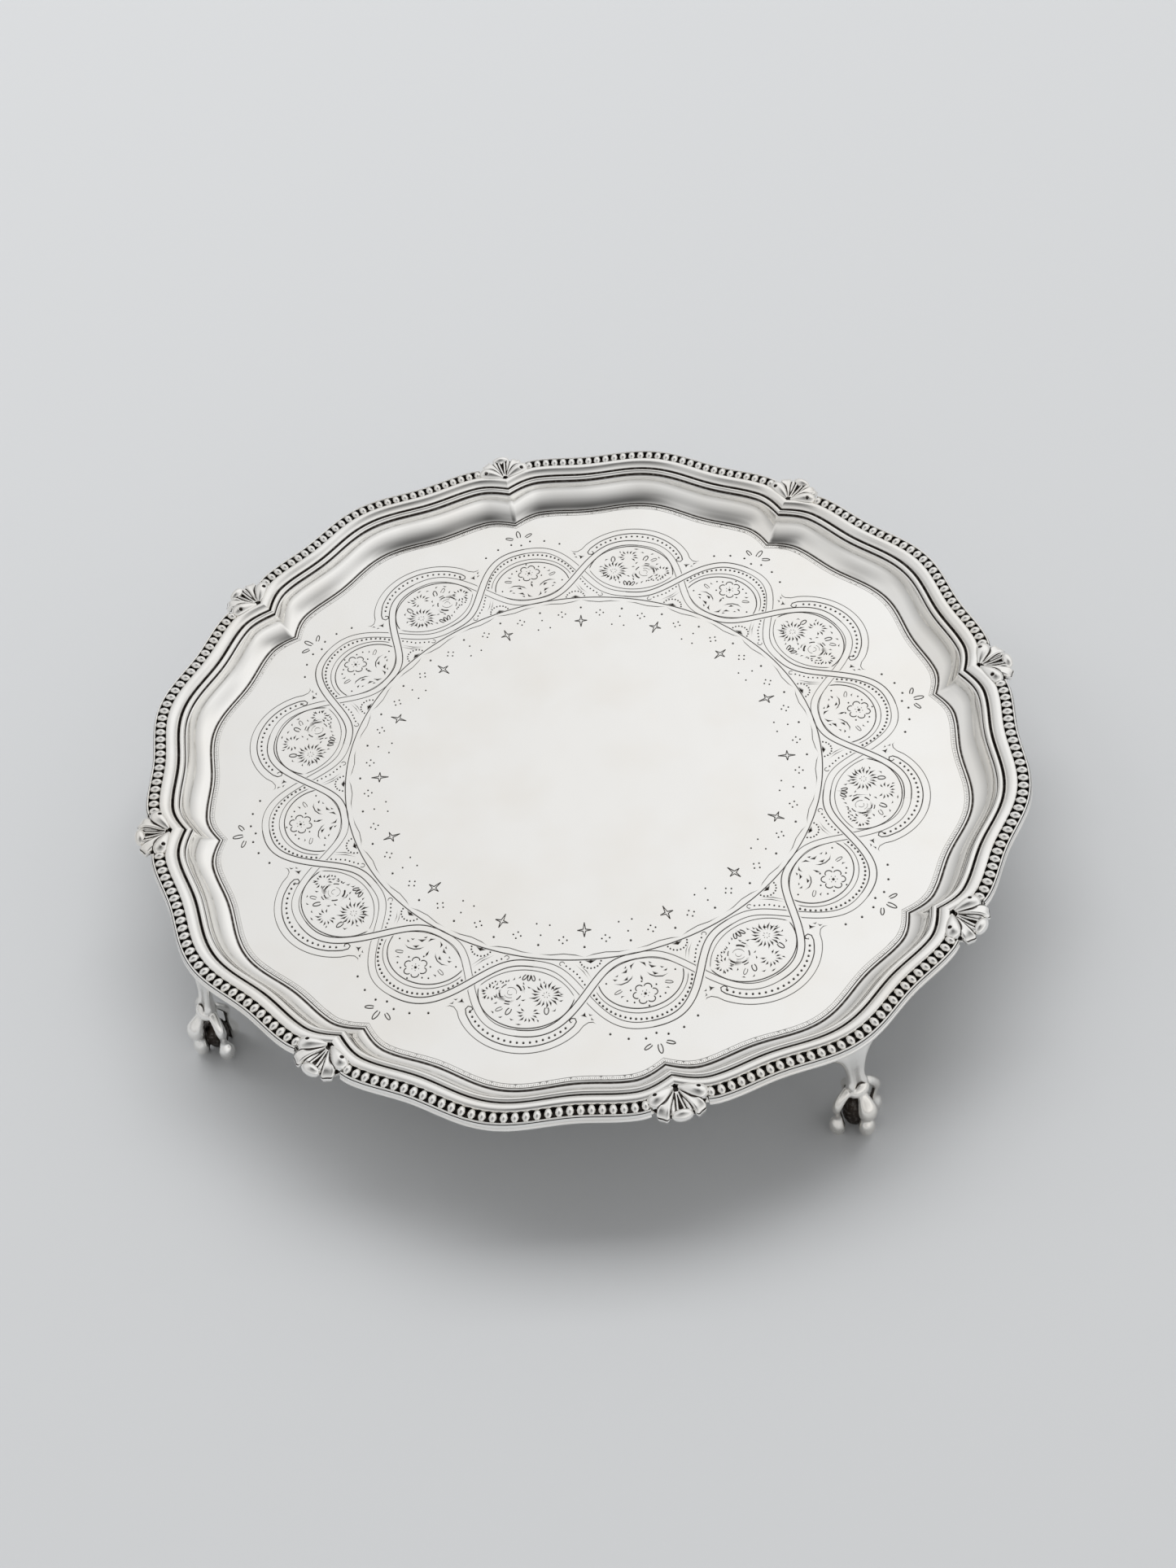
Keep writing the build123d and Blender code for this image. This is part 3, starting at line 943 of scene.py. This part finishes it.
def border_piece():
    """One border section: inner mouldings from cusp to cusp, the beaded groove and the outer edge."""
    whole = evenly(0, LOBE_ANGLE, BORDER_STEPS)
    short = evenly(OUTER_START_ANGLE, LOBE_ANGLE - OUTER_START_ANGLE, BORDER_STEPS)
    mouldings = [swept(inner_moulding(), whole), swept(outer_edge(), short)]
    beads = []
    for angle in evenly(FIRST_BEAD_ANGLE, LOBE_ANGLE - FIRST_BEAD_ANGLE, BEADS_PER_LOBE - 1):
        beads.append(ellipsoid((*on_rim(angle, BEAD_OFFSET), BEAD_MIDDLE), BEAD_HALVES, angle))
    points, faces = joined(mouldings + beads)
    moulding_points = len(mouldings[0][0]) + len(mouldings[1][0])
    patina_and_shade = []
    for x, y, z in points[:moulding_points]:
        offset = hypot(x, y) - rim_radius(degrees(atan2(y, x)), 0)
        patina_and_shade.append(border_patina(offset, z))
    # Painted shade: each bead darkens towards its lower half, down in the groove
    for x, y, z in points[moulding_points:]:
        patina_and_shade.append(min(1.0, max(0.0, (RIM_HEIGHT - 0.25 - z) / 0.5)))
    mesh = mesh_of("border_visual", points, faces, patina_and_shade)
    mesh.polygons.foreach_set("use_smooth", [True] * len(faces))
    mesh.set_sharp_from_angle(angle=radians(38))
    return mesh


def border_patina(offset, height):
    """Oxide in the groove round the beads, in the fine lines and where the border meets the booge."""
    if 3.4 < offset < 6.75 and height > FLANGE_TOP:
        return min(1.0, max(0.0, (RIM_HEIGHT + 0.15 - height) / 0.55))
    if abs(offset) < 0.2 and height > FLANGE_TOP:
        return 0.95
    if offset < -1.8:
        return 0.8
    if 7.02 < offset < 7.14 and height > RIM_HEIGHT - 0.1:
        return 0.75
    if 7.1 < offset < 7.3 and RIM_HEIGHT - 1.0 < height < RIM_HEIGHT - 0.85:
        return 0.6
    return 0.0


# ---- leaf mount

def mirrored(rows):
    """Key rows of a tongue on the other side of the middle."""
    return [(x, -y, z, *rest) for x, y, z, *rest in rows]


def leaf_base():
    """The block under the petals, which fills the notch between two border sections."""
    half = 6.9
    corner = LINE_RADIUS + 0.45
    right = [(corner, half), (TIP_RADIUS - 5.6, half), (TIP_RADIUS - 3.2, 5.4), (TIP_RADIUS - 2.4, 3.6)]
    left = [(x, -y) for x, y in reversed(right)]
    return prism([(LEAF_APEX - 0.5, 0)] + right + left, FLANGE_TOP, RIM_HEIGHT - 0.75)


def petal_keys(*rows):
    """Key rows of a petal, counted from the mount's inner point and the rim's plane."""
    return [(LEAF_APEX + x, y, RIM_HEIGHT + z, *halves) for x, y, z, *halves in rows]


def leaf_mount():
    """A five-lobed palmette at angle 0: a hollowed centre petal with a rolled tip, two side petals and
    two plump scroll lobes that close the ends of the beaded grooves."""
    centre = petal_keys((0.8, 0, -0.5, 0.5, 0.4), (3.2, 0, -0.4, 1.5, 0.9), (5.6, 0, -0.2, 2.4, 1.2),
                        (7.6, 0, 0.0, 2.8, 1.3), (9.0, 0, -0.9, 2.6, 1.1))
    rolled_tip = ellipsoid((LEAF_APEX + 8.6, 0, RIM_HEIGHT - 0.3), (1.65, 2.85, 1.75), 0, 20, 32)
    side = petal_keys((1.2, 0.8, -0.1, 0.4, 0.5), (3.4, 2.25, 0.25, 0.95, 0.9), (5.4, 3.6, 0.3, 1.45, 1.1),
                      (7.0, 4.5, 0.0, 1.8, 1.2), (8.0, 4.8, -0.8, 1.75, 1.05), (8.2, 4.85, -2.0, 1.3, 0.7))
    lobe = petal_keys((0.5, 0.7, 0.1, 0.5, 0.6), (1.5, 2.4, 0.35, 1.35, 1.2), (2.7, 4.4, 0.45, 2.0, 1.6),
                      (3.6, 6.1, 0.25, 2.1, 1.6), (4.1, 7.3, -0.3, 1.35, 1.0))
    vein = petal_keys((1.6, 0.2, -0.1, 0.2, 0.25), (4.4, 0.5, 0.0, 0.28, 0.3), (7.2, 0.9, 0.4, 0.3, 0.35))
    along = (0, 1, 0)
    shells = [tongue(centre, along, 1.3), rolled_tip]
    for keys in (side, mirrored(side)):
        shells.append(tongue(keys, (-0.55 * np.sign(keys[1][1]), 0.83, 0), 0.35))
    for keys in (lobe, mirrored(lobe)):
        shells.append(tongue(keys, (0.87, -0.49 * np.sign(keys[1][1]), 0)))
    for keys in (vein, mirrored(vein)):
        shells.append(tongue(keys, along))
    shells.append(leaf_base())
    mesh = cast("leaf_visual", shells, voxel=0.12, smoothing=3, hollow_reach=60, hollow_depth=0.11)
    darken_floor(mesh, RIM_HEIGHT - 0.05, 0.4)
    drill_eyes(mesh)
    return mesh


def darken_floor(mesh, height, fade):
    """Oxide on the upward faces that lie below a height, where polishing never reaches."""
    for vertex in mesh.vertices:
        if vertex.normal.z > 0.35:
            darken(mesh, vertex, (height - vertex.co.z / MM) / fade)


def drill_eyes(mesh):
    """A small dark hole in each scroll lobe."""
    radius = 0.6 * MM
    depth = 0.7 * MM
    for side in (-1, 1):
        eye = Vector(((LEAF_APEX + 2.3) * MM, side * 5.6 * MM))
        for vertex in mesh.vertices:
            away = hypot(vertex.co.x - eye.x, vertex.co.y - eye.y)
            if away < radius and vertex.co.z > RIM_HEIGHT * MM:
                share = 1 - (away / radius) ** 2
                vertex.co.z -= depth * share
                darken(mesh, vertex, 2 * share)


# ---- foot

def claw(angle, rows):
    """One bent toe of a foot. Each row is how far it stands out from the foot's axis, its height and its
    half width."""
    out = (cos(radians(angle)), sin(radians(angle)))
    axis = FOOT_RADIUS + 0.2
    keys = [(axis + away * out[0], away * out[1], height, half, half * 0.92) for away, height, half in rows]
    return tongue(keys, (-out[1], out[0], 0), 0.0, 7, 24)


def claw_foot():
    """A claw-and-ball foot at angle 0: hollow-fronted web, ankle, knuckle, four toes and the ball."""
    r = FOOT_RADIUS
    web = [(r - 1.9, 0, FLANGE_BOTTOM + 0.3, 11.0, 2.4), (r - 1.3, 0, 32.4, 7.6, 1.9),
           (r - 0.9, 0, 29.8, 5.0, 1.7), (r - 0.6, 0, 26.6, 3.6, 1.6), (r - 0.4, 0, 23.2, 2.9, 1.7),
           (r, 0, 20.4, 2.7, 1.9), (r + 0.4, 0, 18.2, 3.2, 2.3), (r + 0.5, 0, 16.0, 2.6, 2.2)]
    knuckle = ellipsoid((r + 0.8, 0, 16.2), (2.8, 3.4, 2.5))
    ball = ellipsoid((r + 0.1, 0, 5.4), (3.4, 3.4, 5.4))
    front = [(0.6, 17.6, 1.7), (2.8, 15.0, 1.5), (4.8, 11.6, 2.6), (4.9, 9.2, 2.45), (4.3, 6.8, 1.5),
             (4.8, 4.2, 2.3), (4.8, 2.2, 2.2), (4.0, 0.6, 1.3)]
    beside = [(0.6, 17.4, 1.5), (4.0, 15.6, 1.4), (6.3, 12.4, 1.4), (6.1, 9.6, 1.0), (5.7, 7.2, 1.1),
              (6.2, 4.4, 2.2), (5.9, 2.2, 2.1), (4.8, 0.5, 1.3)]
    rear = [(0.6, 17.6, 1.1), (2.8, 15.4, 1.0), (4.6, 12.4, 1.2), (4.4, 9.6, 0.85), (4.4, 7.0, 1.0),
            (4.8, 4.0, 1.8), (4.6, 2.0, 1.7), (3.8, 0.5, 1.1)]
    shells = [tongue(web, (0, 1, 0), 0.55), knuckle, ball]
    for angle, rows in ((0, front), (88, beside), (-88, beside), (180, rear)):
        shells.append(claw(angle, rows))
    mesh = cast("foot_visual", shells, voxel=0.2, smoothing=3, hollow_reach=70, hollow_depth=0.3)
    wear_flat(mesh)
    # Painted shade on the ball between the toes and on the hollow over it
    shade_ball_between_toes(mesh)
    return mesh


def wear_flat(mesh):
    """The tips of the toes settle on the floor and are worn level with it."""
    for vertex in mesh.vertices:
        if vertex.co.z < 2 * MM:
            vertex.co.z = max(vertex.co.z - 0.2 * MM, 0.0)


def shade_ball_between_toes(mesh):
    """Painted shade: the sheltered ball between the toes, and the hollow over it, are darkened for the shadow
    that falls on them there.
    """
    reach, top = 4.2, 13.6
    for vertex in mesh.vertices:
        x, y, z = vertex.co / MM
        away = hypot(x - FOOT_RADIUS - 0.3, y)
        if away < reach and z < top:
            shade = min(1.0, (reach - away) / 0.6) * min(1.0, (top - z) / 1.5)
            darken(mesh, vertex, 0.8 * shade)


# ---- stage

def stage():
    """A wide, level, pale sheet."""
    half = 5.0
    corners = [(-half, -half, 0), (half, -half, 0), (half, half, 0), (-half, half, 0)]
    mesh = bpy.data.meshes.new("sheet")
    mesh.from_pydata(corners, [], [(0, 1, 2, 3)])
    mesh.materials.append(floor_material())
    sheet = bpy.data.objects.new("sheet", mesh)
    bpy.context.scene.collection.objects.link(sheet)


def soft_light(name, place, size, power):
    """A rectangular soft box that faces the tray and isn't mirrored in the silver."""
    light = bpy.data.lights.new(name, "AREA")
    light.shape = "RECTANGLE"
    light.size, light.size_y = size
    light.energy = power
    lamp = bpy.data.objects.new(name, light)
    lamp.location = place
    towards = Vector((0, 0, RIM_HEIGHT * MM)) - Vector(place)
    lamp.rotation_euler = towards.to_track_quat("-Z", "Y").to_euler()
    lamp.visible_glossy = False
    bpy.context.scene.collection.objects.link(lamp)


def surroundings():
    """A pale room for the silver to mirror: the far side is bright halfway up, the near side dims above the
    walls, straight overhead is dark, and the right is brighter than the left."""
    world = bpy.data.worlds.new("room")
    shader = Shader(world)
    split = shader.add("SeparateXYZ", Vector=shader.add("TexCoord").outputs["Generated"])

    def by_height(*stops):
        """Brightness at heights from the horizon (0) to overhead (1)."""
        ramp = shader.add("ValToRGB", Fac=split.outputs["Z"])
        points = ramp.color_ramp.elements
        while len(points) < len(stops):
            points.new(0.5)
        for point, (position, grey) in zip(points, stops):
            point.position = position
            point.color = (grey, grey, grey, 1)
        return ramp.outputs["Color"]

    far = by_height((0.0, 0.58), (0.30, 0.80), (0.55, 1.0), (0.90, 1.0), (0.96, 0.50), (1.0, 0.12))
    near = by_height((0.0, 0.66), (0.28, 1.0), (0.50, 0.84), (0.72, 0.62), (0.92, 0.32), (1.0, 0.12))
    farness = shader.add("MapRange", From_Min=-0.35, From_Max=0.35, Value=split.outputs["Y"])
    farness.interpolation_type = "SMOOTHSTEP"
    background = shader.nodes["Background"]
    shader.feed(background.inputs["Color"], shader.mixed(farness.outputs["Result"], near, far))
    shader.feed(background.inputs["Strength"], shader.spread(split.outputs["X"], -0.25, 0.25, 0.73, 0.93))
    bpy.context.scene.world = world
    bpy.context.scene.view_settings.view_transform = "Standard"


def camera():
    """The camera that looks down on the tray from the front, a little to the left and tilted. Its distance
    and the point that it looks at are in shares of the ornament's radius."""
    azimuth, elevation, roll = radians(-7.05), radians(49.34), radians(-6.26)
    share = ORNAMENT_RADIUS * MM
    target = Vector((-0.006 * share, -0.119 * share, RIM_HEIGHT * MM))
    back = Vector((sin(azimuth) * cos(elevation), -cos(azimuth) * cos(elevation), sin(elevation)))
    level = back.to_track_quat("Z", "Y").to_matrix().to_4x4()
    place = Matrix.Translation(target + back * 5.465 * share)
    lens = bpy.data.cameras.new("camera")
    lens.lens = 52.6
    lens.sensor_width = 36.0
    lens.clip_start = 0.01
    viewer = bpy.data.objects.new("camera", lens)
    viewer.matrix_world = place @ level @ Matrix.Rotation(roll, 4, "Z")
    bpy.context.scene.collection.objects.link(viewer)
    bpy.context.scene.camera = viewer


# ---- the scene

# Ripple and scratches are in metres
plate_silver = silver_material("plate_silver", roughness=0.09, ripple=35e-5, scratches=3e-7, tarnish=0.16)
border_silver = silver_material("border_silver", roughness=0.2, ripple=8e-5, scratches=3e-7, tarnish=0.2)
leaf_silver = silver_material("leaf_silver", roughness=0.19, ripple=1e-4, scratches=3e-6, tarnish=0.22)
foot_silver = silver_material("foot_silver", roughness=0.2, ripple=12e-5, scratches=4e-6, tarnish=0.25)

tray_plate(plate_silver)
border_mesh = border_piece()
leaf_mesh = leaf_mount()
foot_mesh = claw_foot()
for number in range(1, LOBES + 1):
    turn = LOBE_ANGLE * (number - 1)
    add_piece(f"border_silver_{number}", border_mesh, f"border_{number}", border_silver, turn)
    add_piece(f"leaf_silver_{number}", leaf_mesh, f"leaf_mount_{number}", leaf_silver, turn)
for number in range(1, FEET + 1):
    turn = BULGE_ANGLE + 360 / FEET * (number - 1)
    add_piece(f"foot_silver_{number}", foot_mesh, f"claw_foot_{number}", foot_silver, turn)

stage()
surroundings()
soft_light("key", place=(0.2, 1.1, 2.1), size=(2.8, 1.2), power=39)
soft_light("window", place=(-1.3, 1.0, 1.2), size=(0.5, 0.9), power=4)
camera()

bpy.context.view_layer.update()
